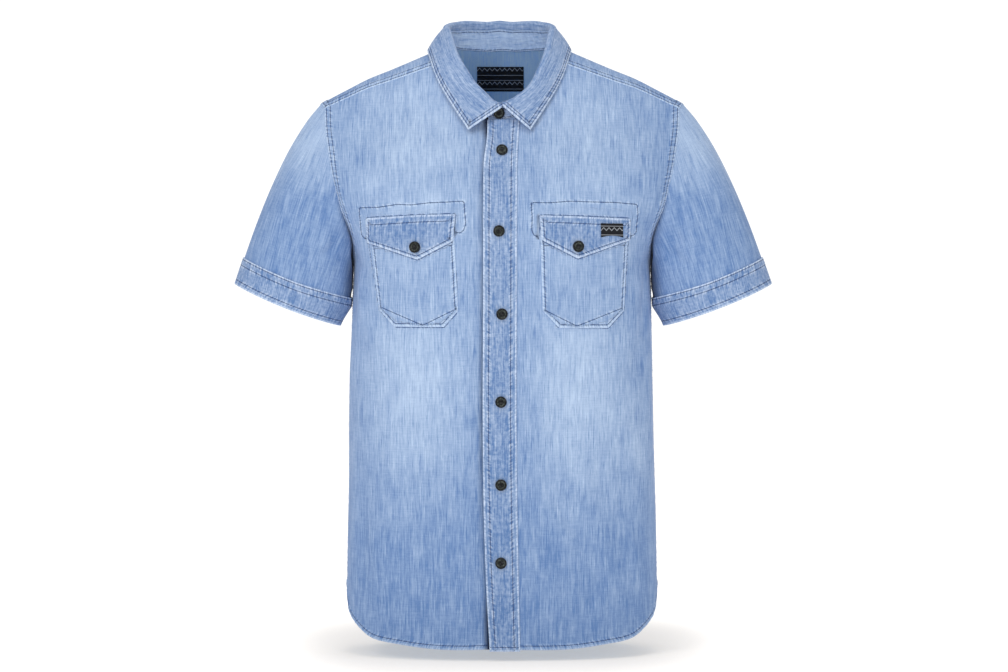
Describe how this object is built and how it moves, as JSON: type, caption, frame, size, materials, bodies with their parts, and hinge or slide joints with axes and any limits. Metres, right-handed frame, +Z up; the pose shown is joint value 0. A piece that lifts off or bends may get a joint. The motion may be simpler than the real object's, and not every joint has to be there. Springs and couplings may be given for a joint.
{
  "type": "short-sleeved denim shirt",
  "caption": "Short-sleeved button-front denim shirt, filled out with no wearer: pointed collar, flap chest pockets, banded cuffs and a curved shirt-tail hem.",
  "frame": {"origin": "the base of the neck, level with the back neck seam and midway between the shoulders, where the wearer's neck and shoulders hold the shirt", "axes": "+X to the wearer's left, -Y to the front, +Z up"},
  "size_m": [0.6724, 0.2631, 0.7765],
  "materials": {
    "denim_panel": "matte light-washed blue denim, faded over the chest and shoulders",
    "denim_trim": "matte denim, a shade bluer, puckered and roped along its stitching",
    "woven_label": "dark woven satin label with a plain woven pattern",
    "button_metal": "dark gunmetal, worn a little at the rim"
  },
  "bodies": {
    "root": {"back": "denim_panel", "button_1": "button_metal", "button_2": "button_metal", "button_3": "button_metal", "button_4": "button_metal", "button_5": "button_metal", "button_6": "button_metal", "button_7": "button_metal", "collar_leaf": "denim_trim", "collar_stand": "denim_trim", "cuff_left": "denim_trim", "cuff_right": "denim_trim", "flap_button_left": "button_metal", "flap_button_right": "button_metal", "flap_left": "denim_trim", "flap_right": "denim_trim", "front_left": "denim_panel", "front_right": "denim_panel", "neck_label": "woven_label", "placket": "denim_trim", "pocket_left": "denim_panel", "pocket_right": "denim_panel", "pocket_tab": "woven_label", "sleeve_left": "denim_panel", "sleeve_right": "denim_panel", "yoke": "denim_panel"}
  },
  "joints": []
}
